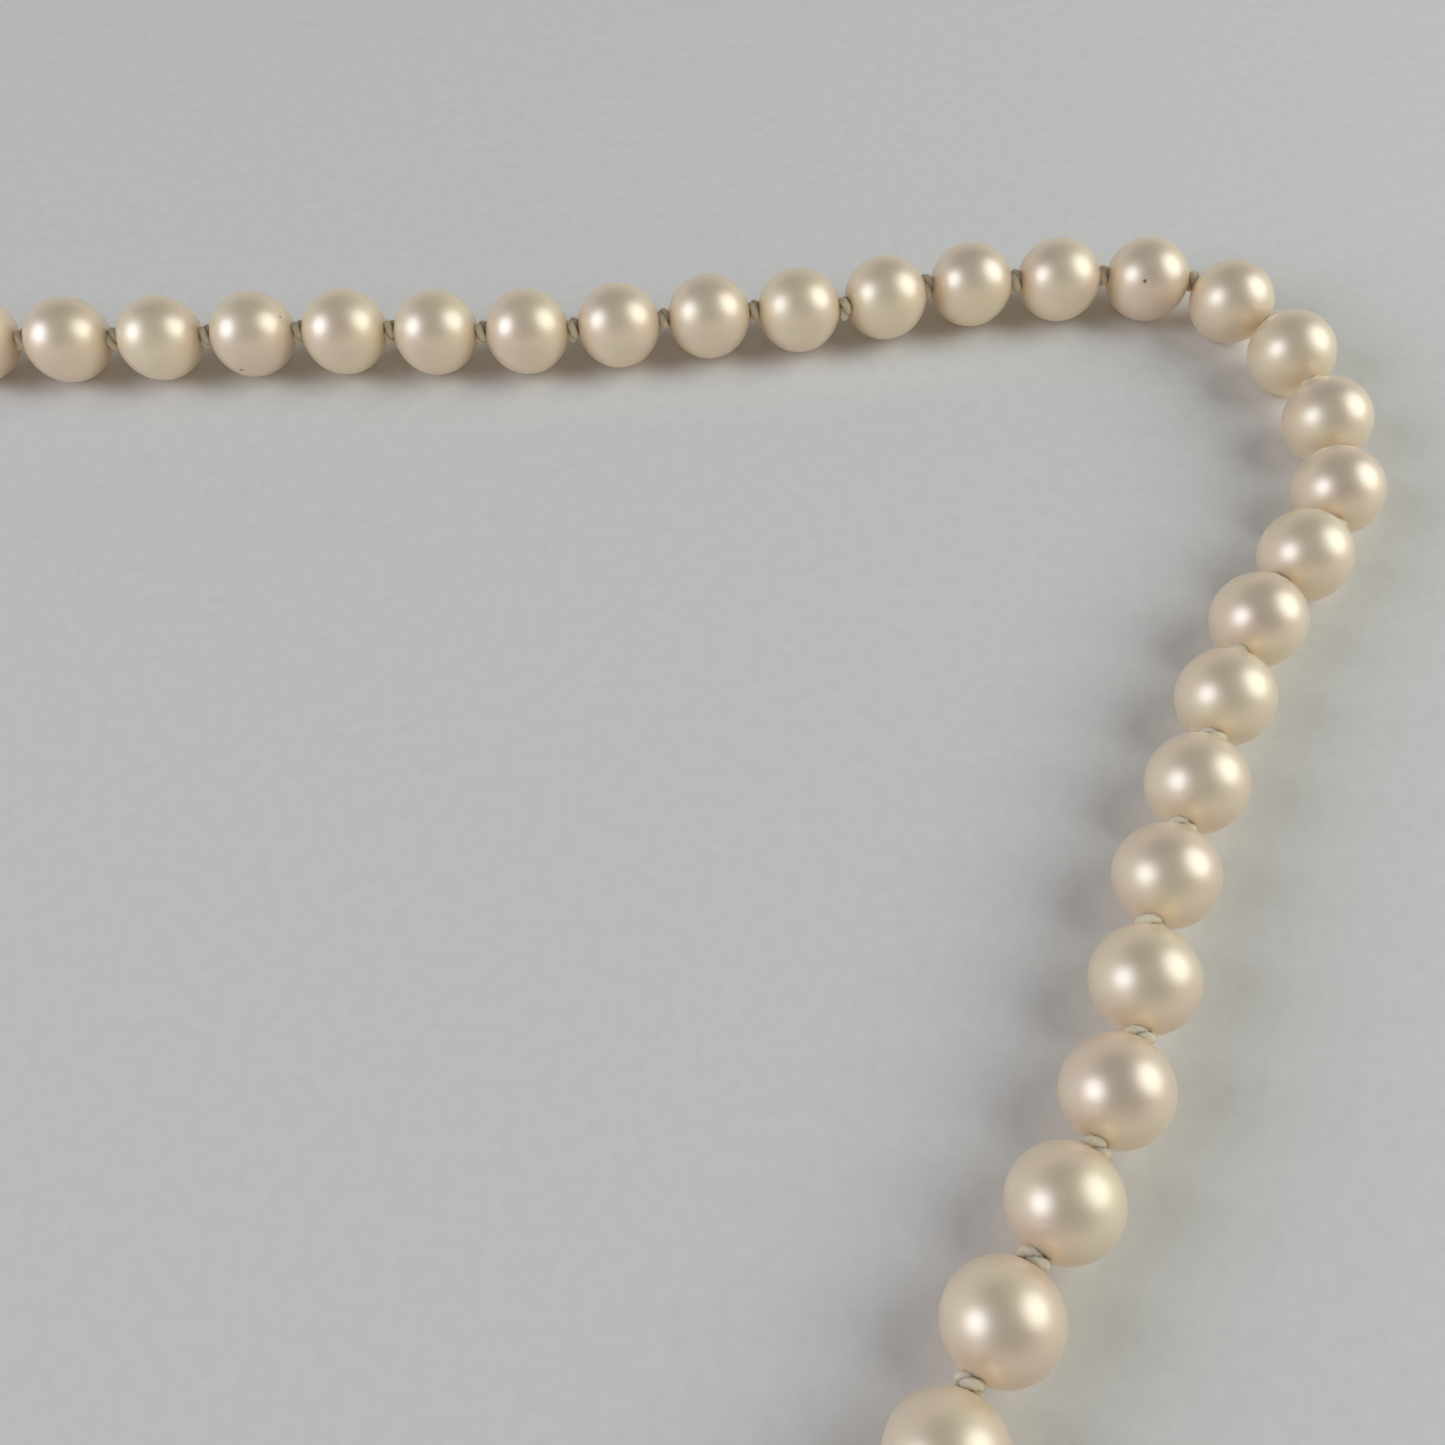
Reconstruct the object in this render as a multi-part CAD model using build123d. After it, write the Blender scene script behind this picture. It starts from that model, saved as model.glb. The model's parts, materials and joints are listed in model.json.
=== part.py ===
from build123d import *
import os
from math import atan2, cos, degrees, radians, sin

# A hand-knotted pearl necklace, laid open on a flat surface with its box clasp undone.
# Millimetres, +Z up. The origin is on the surface, under the middle of the necklace's outline.
# The strand runs from the clasp's tongue, past pearl_01 to pearl_50, to the clasp's housing.

# ---- Driving sizes: the strand ----
PEARL_DIAMETER = 7.0
KNOT_ROOM = 0.6            # clear distance between two pearls, which the knot fills
KNOT_CLEARANCE = 0.07      # between a knot and the pearl on each side of it
KNOT_DIAMETER = 1.5
THREAD_DIAMETER = 0.5
THREAD_CLEARANCE = 0.15    # round the thread in a pearl's drill hole
RUN_INSET = 0.1            # each run of thread ends inside its knots, this far short of their middles

# How the strand lies: the way pearl_01's hole points, then the turn at each knot, in degrees.
FIRST_HEADING = 14
TURNS = [
    -2, -3, -1, -2, -3, -1, 2, 1, -2, -2,          # the tongue's arm, almost straight
    -1, 1, 2, 1, -3, -2, 4, 6, -1, -4, 16, -15, 0,  # the long row
    -9, -36, -36, -8, -24, -26, 12, 8,              # the corner
    -1, 1, 10, -14, -6, 2, 8,                       # the near row
    2, -3, -4, -2, -3, -3, 1, -3, -4, -3, -2,       # the housing's arm
]
TONGUE_KNOT_TURN = 8       # between pearl_01 and the gimp on the tongue's ring
HOUSING_KNOT_TURN = -9
TONGUE_RING_TURN = 14      # between that gimp and the tongue
HOUSING_RING_TURN = -16

# ---- Driving sizes: gimp (the fine coil over the thread at each ring) and rings ----
GIMP_CLEARANCE = 0.05      # round the thread in the coil
GIMP_WALL = 0.17
GIMP_LEVEL_RUN = 1.7       # in plan, from the end knot to the ring's wire if they were at one height
GIMP_RUN_PER_DROP = 0.8    # added to it for each millimetre that the ring's wire is lower
GIMP_START = 0.45          # from the end knot to the coil's first turn
GIMP_SPREAD = 12           # degrees, each leg of the coil's loop from its middle line
RING_WIRE = 0.8
LOOP_CLEARANCE = 0.15      # between the coil and the ring's wire
SEAT_CLEARANCE = 0.1       # from the ring's bore to the face it is soldered to

# ---- Driving sizes: the box clasp ----
CLASP_LENGTH = 11.0
CLASP_WIDTH = 6.5
CLASP_HEIGHT = 4.8
CLASP_EDGE = 1.2           # round along its four long edges
END_EDGE = 0.35            # round at its two outer ends
CLASP_WALL = 0.7
COVER_THICKNESS = 0.9
COVER_LIP = 0.4            # how far the cover reaches into the tray
FIT_CLEARANCE = 0.05       # cover in tray
SLIDE_CLEARANCE = 0.1      # tongue in housing
CATCH_BAR_THICKNESS = 0.5
MOUTH_SHARE = 0.625        # of the height inside the housing, taken by its mouth
CATCH_BAR_SHARE = 0.25     # of the same height, taken by the bars above the mouth
PLATE_THICKNESS = 0.8
LEAF_THICKNESS = 0.4
LEAF_SIDE_ROOM = 0.55      # from the leaf to the housing's side wall
FOLD_RADIUS = 0.45         # middle of the strip at the tongue's nose
NOSE_ROOM = 1.0            # from the nose to the housing's inner end when shut
LEAF_GAP = 0.05            # round the sprung leaf's pivot
NECK_WIDTH = 1.4
NECK_THICKNESS = 0.4
NECK_SETBACK = 0.2         # from the catch shoulder to the neck
NOTCH_CLEARANCE = 0.2      # each side of the neck
NOTCH_LENGTH = 1.8
THUMB_LENGTH = 2.2
THUMB_WIDTH = 2.8
THUMB_THICKNESS = 0.4
THUMB_HEIGHT = 1.0         # under the thumb pad, above the cover

# ---- Worked out from them ----
PEARL_RADIUS = PEARL_DIAMETER / 2
PITCH = PEARL_DIAMETER + KNOT_ROOM
PEARL_COUNT = len(TURNS) + 1
CLASP_MIDDLE = CLASP_HEIGHT / 2
DRILL_HOLE = THREAD_DIAMETER + 2 * THREAD_CLEARANCE
KNOT_THICKNESS = KNOT_ROOM - 2 * KNOT_CLEARANCE
GIMP_BORE = THREAD_DIAMETER + 2 * GIMP_CLEARANCE
GIMP_RADIUS = GIMP_BORE / 2 + GIMP_WALL
RING_BORE = 2 * (2 * GIMP_RADIUS + LOOP_CLEARANCE)
RING_RADIUS = (RING_BORE + RING_WIRE) / 2
RING_SEAT = RING_BORE / 2 + SEAT_CLEARANCE
LOOP_RADIUS = RING_WIRE / 2 + GIMP_RADIUS + LOOP_CLEARANCE
GIMP_DROP = PEARL_RADIUS - CLASP_MIDDLE
GIMP_RUN = GIMP_LEVEL_RUN + GIMP_RUN_PER_DROP * GIMP_DROP
GIMP_REACH = (GIMP_RUN**2 + GIMP_DROP**2) ** 0.5
BODY_START = RING_SEAT
BODY_END = BODY_START + CLASP_LENGTH
FLOOR_TOP = CLASP_WALL
COVER_BOTTOM = CLASP_HEIGHT - COVER_THICKNESS
INNER_HEIGHT = COVER_BOTTOM - FLOOR_TOP
MOUTH_TOP = FLOOR_TOP + MOUTH_SHARE * INNER_HEIGHT
CATCH_BAR_HEIGHT = CATCH_BAR_SHARE * INNER_HEIGHT
CAVITY_WIDTH = CLASP_WIDTH - 2 * CLASP_WALL
LEAF_WIDTH = CAVITY_WIDTH - 2 * LEAF_SIDE_ROOM
MOUTH_WIDTH = LEAF_WIDTH + 2 * SLIDE_CLEARANCE
NOTCH_WIDTH = NECK_WIDTH + 2 * NOTCH_CLEARANCE
PLATE_FACE = RING_SEAT + PLATE_THICKNESS
LEAF_MIDDLE = FLOOR_TOP + SLIDE_CLEARANCE + LEAF_THICKNESS / 2
LEAF_LENGTH = CLASP_LENGTH - CLASP_WALL - NOSE_ROOM
FOLD_X = PLATE_FACE + LEAF_LENGTH - FOLD_RADIUS - LEAF_THICKNESS / 2
PIVOT_X = FOLD_X - LEAF_GAP - LEAF_THICKNESS / 2
PIVOT_Z = LEAF_MIDDLE + 2 * FOLD_RADIUS
SHOULDER_X = PLATE_FACE + CLASP_WALL + CATCH_BAR_THICKNESS + SLIDE_CLEARANCE
SHOULDER_Z = MOUTH_TOP + CATCH_BAR_HEIGHT - LEAF_THICKNESS / 2
LEAF_RISE = degrees(atan2(SHOULDER_Z - PIVOT_Z, PIVOT_X - SHOULDER_X))   # sprung leaf above the fixed one


# ---- Where everything lies ----
def step(point, heading, distance):
    """The point that lies a distance along a heading, in plan."""
    return (point[0] + distance * cos(radians(heading)), point[1] + distance * sin(radians(heading)))


def lay_strand():
    """Headings and centres of the pearls, and the knots before, between and after them."""
    heading = FIRST_HEADING
    centre = (0.0, 0.0)
    headings = [heading]
    centres = [centre]
    knots = [step(centre, heading, -PITCH / 2), step(centre, heading, PITCH / 2)]
    for turn in TURNS:
        heading += turn
        centre = step(knots[-1], heading, PITCH / 2)
        headings.append(heading)
        centres.append(centre)
        knots.append(step(centre, heading, PITCH / 2))
    return headings, centres, knots


def lay_ends(headings, knots):
    """For each end of the strand: its knot, its gimp's heading, its ring's centre and its clasp half's heading."""
    tongue_gimp = headings[0] + 180 + TONGUE_KNOT_TURN
    housing_gimp = headings[-1] + HOUSING_KNOT_TURN
    ends = {}
    for name, knot, gimp_heading, ring_turn in (
        ("tongue", knots[0], tongue_gimp, TONGUE_RING_TURN),
        ("housing", knots[-1], housing_gimp, HOUSING_RING_TURN),
    ):
        ring = step(knot, gimp_heading, GIMP_RUN + RING_RADIUS)
        ends[name] = (knot, gimp_heading, ring, gimp_heading + ring_turn)
    return ends


def put(shape, point, heading, height=0.0):
    """A shape made at the origin along +X, turned to a heading and set down at a point."""
    return Pos(point[0], point[1], height) * Rot(0, 0, heading) * shape


# ---- The strand's pieces, each made at the origin along +X ----
def drilled_pearl():
    return Sphere(PEARL_RADIUS) - Rot(0, 90, 0) * Cylinder(DRILL_HOLE / 2, 2 * PEARL_DIAMETER)


def knot():
    """A tight overhand knot, simplified to a button that bulges on both faces."""
    half = KNOT_THICKNESS / 2
    rim = KNOT_DIAMETER / 2
    face_radius = (rim**2 + half**2) / KNOT_THICKNESS
    near_face = RadiusArc((-half, 0), (0, rim), face_radius)
    far_face = RadiusArc((0, rim), (half, 0), face_radius)
    outline = make_face(near_face + far_face + Line((half, 0), (-half, 0)))
    return revolve(outline, Axis.X)


def thread_run():
    """The thread through one pearl, from inside one knot to inside the next."""
    return Rot(0, 90, 0) * Cylinder(THREAD_DIAMETER / 2, PITCH - 2 * RUN_INSET)


def loop_path(start):
    """The loop from one side of the end knot, round the ring's wire and back, from a distance along it.

    It lies in the XZ plane with the knot at the origin, and slopes down to the ring.
    """
    along = Vector(cos(radians(GIMP_SPREAD)), 0, sin(radians(GIMP_SPREAD)))
    across = Vector(-along.Z, 0, along.X)
    bend = Vector(GIMP_REACH, 0, 0)
    tangent = bend + across * LOOP_RADIUS
    first = tangent - along * ((tangent.X - start) / along.X)
    nose = bend + Vector(LOOP_RADIUS, 0, 0)
    mirrored_tangent = Vector(tangent.X, 0, -tangent.Z)
    mirrored_first = Vector(first.X, 0, -first.Z)
    path = (
        Line(first, tangent)
        + ThreePointArc(tangent, nose, mirrored_tangent)
        + Line(mirrored_tangent, mirrored_first)
    )
    return path, Plane(origin=first, z_dir=along)


def slope_down(shape):
    """Tilts a loop so that it drops from the pearls' middle to the clasp's."""
    tilt = Vector(GIMP_RUN, 0, GIMP_DROP).get_angle(Vector(1, 0, 0))
    return Rot(0, tilt, 0) * shape


def gimp():
    """The coil over the thread's loop, as a tube."""
    path, section = loop_path(GIMP_START)
    tube_section = section * (Circle(GIMP_RADIUS) - Circle(GIMP_BORE / 2))
    return slope_down(sweep(tube_section, path))


def thread_loop():
    path, section = loop_path(RUN_INSET)
    return slope_down(sweep(section * Circle(THREAD_DIAMETER / 2), path))


def silk_thread(headings, centres, knots, ends):
    """The whole thread: a run through each pearl, a knot in each gap and a loop at each end."""
    pieces = []
    for heading, centre in zip(headings, centres):
        pieces.append(put(thread_run(), centre, heading, PEARL_RADIUS))
    for index in range(1, PEARL_COUNT):
        lean = (headings[index - 1] + headings[index]) / 2
        pieces.append(put(knot(), knots[index], lean, PEARL_RADIUS))
    for name, pearl_heading in (("tongue", headings[0] + 180), ("housing", headings[-1])):
        end_knot, gimp_heading, ring, clasp_heading = ends[name]
        lean = (pearl_heading + gimp_heading) / 2
        pieces.append(put(knot(), end_knot, lean, PEARL_RADIUS))
        pieces.append(put(thread_loop(), end_knot, gimp_heading, PEARL_RADIUS))
    return pieces[0].fuse(*pieces[1:])


# ---- The clasp's pieces: the ring's centre is over the origin and the body runs along +X ----
def ring():
    """A wire ring lying flat, cut where it is soldered to the clasp."""
    whole = Pos(0, 0, CLASP_MIDDLE) * Torus(RING_RADIUS, RING_WIRE / 2)
    kept = Box(CLASP_LENGTH, CLASP_WIDTH, CLASP_HEIGHT, align=(Align.MAX, Align.CENTER, Align.MIN))
    return whole & Pos(RING_SEAT, 0, 0) * kept


def block(x_from, x_to, width, z_from, z_to):
    """A box between two places along the clasp and two heights, in the middle of its width."""
    size = Box(x_to - x_from, width, z_to - z_from, align=(Align.MIN, Align.CENTER, Align.MIN))
    return Pos(x_from, 0, z_from) * size


def clasp_bar(x_from, x_to):
    """A length of the clasp's outer shape, with round long edges and a softened end at x_from."""
    bar = block(x_from, x_to, CLASP_WIDTH, 0, CLASP_HEIGHT)
    bar = fillet(bar.edges().filter_by(Axis.X), CLASP_EDGE)
    return fillet(bar.faces().sort_by(Axis.X)[0].edges(), END_EDGE)


def neck_notch():
    """The notch in the mouth's upper wall and the cover, where the tongue's neck slides in."""
    return block(BODY_END - NOTCH_LENGTH, BODY_END, NOTCH_WIDTH, MOUTH_TOP, CLASP_HEIGHT)


def housing_tray():
    inner_start = BODY_START + CLASP_WALL
    inner_end = BODY_END - CLASP_WALL
    tray = clasp_bar(BODY_START, BODY_END)
    tray -= block(BODY_START, BODY_END, CLASP_WIDTH, COVER_BOTTOM, CLASP_HEIGHT)
    tray -= block(inner_start, inner_end, CAVITY_WIDTH, FLOOR_TOP, CLASP_HEIGHT)
    tray -= block(inner_end, BODY_END, MOUTH_WIDTH, FLOOR_TOP, MOUTH_TOP)
    return tray - neck_notch()


def housing_cover():
    inner_start = BODY_START + CLASP_WALL + FIT_CLEARANCE
    inner_end = BODY_END - CLASP_WALL - CATCH_BAR_THICKNESS - FIT_CLEARANCE
    lip_width = CAVITY_WIDTH - 2 * FIT_CLEARANCE
    plate = clasp_bar(BODY_START, BODY_END) & block(
        BODY_START, BODY_END, CLASP_WIDTH, COVER_BOTTOM, CLASP_HEIGHT
    )
    lip = block(inner_start, inner_end, lip_width, COVER_BOTTOM - COVER_LIP, COVER_BOTTOM)
    hollow = block(
        inner_start + CLASP_WALL,
        inner_end,
        lip_width - 2 * CLASP_WALL,
        COVER_BOTTOM - COVER_LIP,
        COVER_BOTTOM,
    )
    return plate + (lip - hollow) - neck_notch()


def catch_bars():
    """Two bars soldered inside the mouth's upper wall, one each side of the notch."""
    inner_end = BODY_END - CLASP_WALL
    across = block(
        inner_end - CATCH_BAR_THICKNESS,
        inner_end,
        CAVITY_WIDTH - 2 * FIT_CLEARANCE,
        MOUTH_TOP,
        MOUTH_TOP + CATCH_BAR_HEIGHT,
    )
    return across - neck_notch()


def strip(profile, width):
    """A bent strip: its profile, drawn in the XZ plane, across the clasp's width."""
    return extrude(Plane.XZ * profile, amount=width / 2, both=True)


def tongue_plate():
    """The plate that shuts the housing's mouth, with the fixed leaf and the fold at its nose."""
    plate = clasp_bar(RING_SEAT, PLATE_FACE)
    straight = Pos((PLATE_FACE + FOLD_X) / 2, LEAF_MIDDLE) * Rectangle(FOLD_X - PLATE_FACE, LEAF_THICKNESS)
    outer = Circle(FOLD_RADIUS + LEAF_THICKNESS / 2)
    inner = Circle(FOLD_RADIUS - LEAF_THICKNESS / 2)
    right_half = Pos(FOLD_RADIUS, 0) * Rectangle(2 * FOLD_RADIUS, 4 * FOLD_RADIUS)
    fold = Pos(FOLD_X, LEAF_MIDDLE + FOLD_RADIUS) * ((outer - inner) & right_half)
    return plate + strip(straight + fold, LEAF_WIDTH)


def spring_leaf():
    """The sprung leaf: it rises from its pivot at the nose to the catch shoulder, neck and thumb pad."""
    reach = (PIVOT_X - SHOULDER_X) / cos(radians(LEAF_RISE))
    flat = Circle(LEAF_THICKNESS / 2) + Pos(-reach / 2, 0) * Rectangle(reach, LEAF_THICKNESS)
    blade = Pos(PIVOT_X, 0, PIVOT_Z) * Rot(0, LEAF_RISE, 0) * strip(flat, LEAF_WIDTH)
    neck_x = SHOULDER_X - NECK_SETBACK - NECK_THICKNESS
    pad_bottom = CLASP_HEIGHT + THUMB_HEIGHT
    foot = block(
        neck_x,
        SHOULDER_X + LEAF_THICKNESS,
        NECK_WIDTH,
        SHOULDER_Z - LEAF_THICKNESS / 2,
        SHOULDER_Z + LEAF_THICKNESS / 2,
    )
    neck = block(neck_x, neck_x + NECK_THICKNESS, NECK_WIDTH, SHOULDER_Z, pad_bottom)
    pad = block(neck_x, neck_x + THUMB_LENGTH, THUMB_WIDTH, pad_bottom, pad_bottom + THUMB_THICKNESS)
    pad = fillet(pad.edges().filter_by(Axis.Z), THUMB_THICKNESS)
    return blade + foot + neck + pad


# ---- The necklace ----
def necklace():
    """Every node's shape, and how far all of them are moved to bring the origin under the middle."""
    headings, centres, knots = lay_strand()
    ends = lay_ends(headings, knots)
    nodes = {}
    for index, (heading, centre) in enumerate(zip(headings, centres), start=1):
        nodes[f"pearl_{index:02d}"] = put(drilled_pearl(), centre, heading, PEARL_RADIUS)
    halves = {
        "tongue": {"tongue_ring": ring(), "tongue_plate": tongue_plate(), "spring_leaf": spring_leaf()},
        "housing": {
            "housing_ring": ring(),
            "housing_tray": housing_tray(),
            "housing_cover": housing_cover(),
            "catch_bars": catch_bars(),
        },
    }
    for name, pieces in halves.items():
        end_knot, gimp_heading, ring_centre, clasp_heading = ends[name]
        nodes[f"{name}_gimp"] = put(gimp(), end_knot, gimp_heading, PEARL_RADIUS)
        for piece_name, piece in pieces.items():
            nodes[piece_name] = put(piece, ring_centre, clasp_heading)
    boxes = [shape.bounding_box() for shape in nodes.values()]
    middle_x = (min(box.min.X for box in boxes) + max(box.max.X for box in boxes)) / 2
    middle_y = (min(box.min.Y for box in boxes) + max(box.max.Y for box in boxes)) / 2
    nodes["silk_thread"] = silk_thread(headings, centres, knots, ends)
    shift = (-middle_x, -middle_y)
    return {name: Pos(*shift, 0) * shape for name, shape in nodes.items()}, shift


nodes, shift = necklace()
os.makedirs("parts", exist_ok=True)
for name, shape in nodes.items():
    export_step(shape, f"parts/{name}.step")
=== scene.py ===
import json
import math

import bpy
import numpy as np
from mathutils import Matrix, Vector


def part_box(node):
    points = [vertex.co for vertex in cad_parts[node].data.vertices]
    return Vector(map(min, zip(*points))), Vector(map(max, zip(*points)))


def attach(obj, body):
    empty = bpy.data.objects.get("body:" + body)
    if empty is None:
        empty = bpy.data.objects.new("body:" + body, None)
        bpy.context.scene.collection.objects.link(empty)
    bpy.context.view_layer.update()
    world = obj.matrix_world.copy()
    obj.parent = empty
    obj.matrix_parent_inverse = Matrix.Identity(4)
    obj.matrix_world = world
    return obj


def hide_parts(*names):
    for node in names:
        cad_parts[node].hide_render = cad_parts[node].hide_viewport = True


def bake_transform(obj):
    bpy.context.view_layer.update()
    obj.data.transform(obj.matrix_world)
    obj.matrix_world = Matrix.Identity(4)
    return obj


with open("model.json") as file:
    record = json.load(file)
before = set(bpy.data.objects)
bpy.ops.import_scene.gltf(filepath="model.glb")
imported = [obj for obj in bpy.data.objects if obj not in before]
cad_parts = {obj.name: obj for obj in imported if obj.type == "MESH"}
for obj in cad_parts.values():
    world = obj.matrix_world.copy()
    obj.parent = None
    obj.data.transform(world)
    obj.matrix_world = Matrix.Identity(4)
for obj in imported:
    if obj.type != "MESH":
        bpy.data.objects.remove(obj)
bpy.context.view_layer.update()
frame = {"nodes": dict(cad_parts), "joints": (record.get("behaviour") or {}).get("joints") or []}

bl_info = {
    "name": "Pearl Necklace",
    "version": (1, 0, 0),
    "blender": (4, 5, 0),
    "location": "3D View > Sidebar > Necklace",
    "description": "Dresses a knotted strand of pearls and its box clasp",
    "category": "Object",
}

MM = 0.001
JOINTS = {joint["name"]: joint for joint in frame["joints"]}
PEARLS = sorted(name for name in frame["nodes"] if name.startswith("pearl_"))
PEARL_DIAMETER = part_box(PEARLS[0])[1].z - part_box(PEARLS[0])[0].z
RING_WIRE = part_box("tongue_ring")[1].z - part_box("tongue_ring")[0].z
CLASP_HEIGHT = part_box("housing_cover")[1].z


# ---- Colours ----
def linear(code):
    """The linear colour of an sRGB hex code.

    Each channel is divided by 12.92 below the knee, and is a 2.4 power above it.
    """
    channels = np.array([int(code[i:i + 2], 16) for i in (0, 2, 4)]) / 255
    low = channels / 12.92
    high = ((channels + 0.055) / 1.055) ** 2.4
    return tuple(float(c) for c in np.where(channels <= 0.04045, low, high))


# ---- Meshes ----
def surface(points, round_u=False, round_v=False, cap_start=False, cap_end=False, turns=1.0):
    """A grid of points as vertices, four-cornered faces, three-cornered faces and UVs.

    The grid's rows follow u and its columns follow v, and each face joins a point to its neighbours along
    both. A round direction joins its last line to its first, and a cap closes the first or last row with a
    fan to the row's middle. The UVs run from 0 to turns along u and from 0 to 1 along v. A face points the way
    of the cross product of u's direction and v's.
    """
    rows, columns = points.shape[:2]
    spans_u = rows if round_u else rows - 1
    spans_v = columns if round_v else columns - 1
    u, v = np.meshgrid(np.arange(spans_u), np.arange(spans_v), indexing="ij")
    corners_u = np.stack([u, u + 1, u + 1, u], -1)
    corners_v = np.stack([v, v, v + 1, v + 1], -1)
    quads = ((corners_u % rows) * columns + corners_v % columns).reshape(-1, 4)
    uvs = [np.stack([corners_u / spans_u * turns, corners_v / spans_v], -1).reshape(-1, 2)]
    vertices = points.reshape(-1, 3)
    fans = [np.empty((0, 3), int)]
    line = np.arange(columns)
    for row, wanted in ((0, cap_start), (rows - 1, cap_end)):
        if wanted:
            rim = row * columns + line
            following = row * columns + (line + 1) % columns
            edge = (following, rim) if row else (rim, following)
            fans.append(np.column_stack([*edge, np.full(columns, len(vertices))]))
            vertices = np.vstack([vertices, points[row].mean(0)])
            uvs.append(np.zeros((3 * columns, 2)))
    return vertices, quads, np.vstack(fans), np.vstack(uvs)


def joined(name, surfaces, material):
    """One smooth object at the origin that holds several surfaces."""
    vertices, faces, uvs, shift = [], [], [], 0
    for points, quads, fans, places in surfaces:
        vertices.append(points)
        faces += (quads + shift).tolist() + (fans + shift).tolist()
        uvs.append(places)
        shift += len(points)
    mesh = bpy.data.meshes.new(name)
    mesh.from_pydata(np.vstack(vertices).tolist(), [], faces)
    layer = mesh.uv_layers.new(name="strand")
    layer.data.foreach_set("uv", np.vstack(uvs).astype(np.float32).ravel())
    mesh.polygons.foreach_set("use_smooth", np.ones(len(faces), bool))
    mesh.update()
    mesh.materials.append(material)
    piece = bpy.data.objects.new(name, mesh)
    bpy.context.scene.collection.objects.link(piece)
    return piece


def show(name, surfaces, material):
    """One piece of the necklace, in its material slot."""
    piece = joined(name, surfaces, material)
    return piece


def placed(points, origin, along, up=(0.0, 0.0, 1.0)):
    """Points given along a direction, to its left and up, set down at an origin."""
    along = np.asarray(along) / np.linalg.norm(along)
    left = np.cross(up, along)
    left /= np.linalg.norm(left)
    axes = np.stack([along, left, np.cross(along, left)])
    return np.asarray(origin) + points @ axes


def wrapped(rows):
    """The rows of a round line, with its last before its first and its first after its last."""
    return np.concatenate([rows[-1:], rows, rows[:1]])


def tube(path, sides, radius, hint):
    """A tube round a path: each path point plus a radius times a circle square to the path.

    The circle's first direction is the hint less its part along the path. radius is a number, or an array
    over the path and the sides. Known fault: as a surface, a tube's faces point inwards.
    """
    tangent = np.gradient(path, axis=0)
    tangent /= np.linalg.norm(tangent, axis=1, keepdims=True)
    first = hint - tangent * (hint * tangent).sum(1, keepdims=True)
    first /= np.linalg.norm(first, axis=1, keepdims=True)
    second = np.cross(tangent, first)
    angle = np.linspace(0, 2 * np.pi, sides, endpoint=False)
    ring = first[:, None] * np.cos(angle)[:, None] + second[:, None] * np.sin(angle)[:, None]
    radius = np.broadcast_to(radius, (len(path), sides))
    return path[:, None] + ring * radius[..., None]


def plies(length, samples, sides, radius, lay):
    """The radius of a three-ply cord: lobes of a rectified cosine, which turn once round in each lay."""
    angle = np.linspace(0, 2 * np.pi, sides, endpoint=False)
    turn = np.linspace(0, 2 * np.pi * length / lay, samples)
    lobe = np.abs(np.cos(1.5 * (angle[None] - turn[:, None])))
    return radius * (0.84 + 0.16 * lobe)


# ---- Materials ----
# The places of a colour Mix node's sockets.
MIX_SHARE, MIX_FIRST, MIX_SECOND, MIX_RESULT = 0, 6, 7, 2


def add_node(tree, kind, inputs=None, **settings):
    """A node with its settings, its input values and its incoming links."""
    node = tree.nodes.new(kind)
    for key, value in settings.items():
        setattr(node, key, value)
    for key, value in (inputs or {}).items():
        if isinstance(value, bpy.types.NodeSocket):
            tree.links.new(value, node.inputs[key])
        else:
            node.inputs[key].default_value = value
    return node


def new_material(name):
    """A material with an empty node tree, and that tree."""
    material = bpy.data.materials.new(name)
    material.use_nodes = True
    material.node_tree.nodes.clear()
    return material, material.node_tree


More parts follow.
